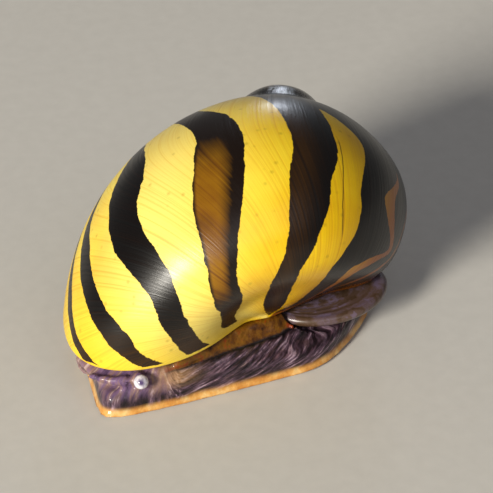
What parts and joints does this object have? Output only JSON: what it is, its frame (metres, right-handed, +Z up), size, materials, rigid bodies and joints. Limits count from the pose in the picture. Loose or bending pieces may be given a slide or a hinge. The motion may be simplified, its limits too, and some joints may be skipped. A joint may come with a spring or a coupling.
{
  "type": "nerite snail",
  "caption": "Life-size still model of a striped nerite snail, resting on its foot with its head drawn in under the round shell.",
  "frame": {"origin": "middle of the base of the bounding box, at the level of the sole", "axes": "+Z up, the head points to -Y, the animal's left side is +X"},
  "size_m": [0.0204, 0.0246, 0.0169],
  "materials": {
    "shell": "glossy yellow shell with black-brown axial stripes",
    "operculum": "smooth, wet, grey-purple",
    "mantle": "wet olive-brown",
    "skin": "wet grey-purple skin with pale streaks",
    "sole": "wet cream-orange",
    "eye": "wet black"
  },
  "bodies": {
    "root": {"shell": "shell", "operculum": "operculum", "mantle": "mantle", "foot_front": "skin", "foot_middle": "skin", "foot_rear": "skin", "sole": "sole", "head": "skin", "snout": "skin", "eye_stalk_left": "skin", "eye_stalk_right": "skin", "eye_left": "eye", "eye_right": "eye", "tentacle_left_root": "skin", "tentacle_left_tip": "skin", "tentacle_right_root": "skin", "tentacle_right_tip": "skin"}
  },
  "joints": []
}
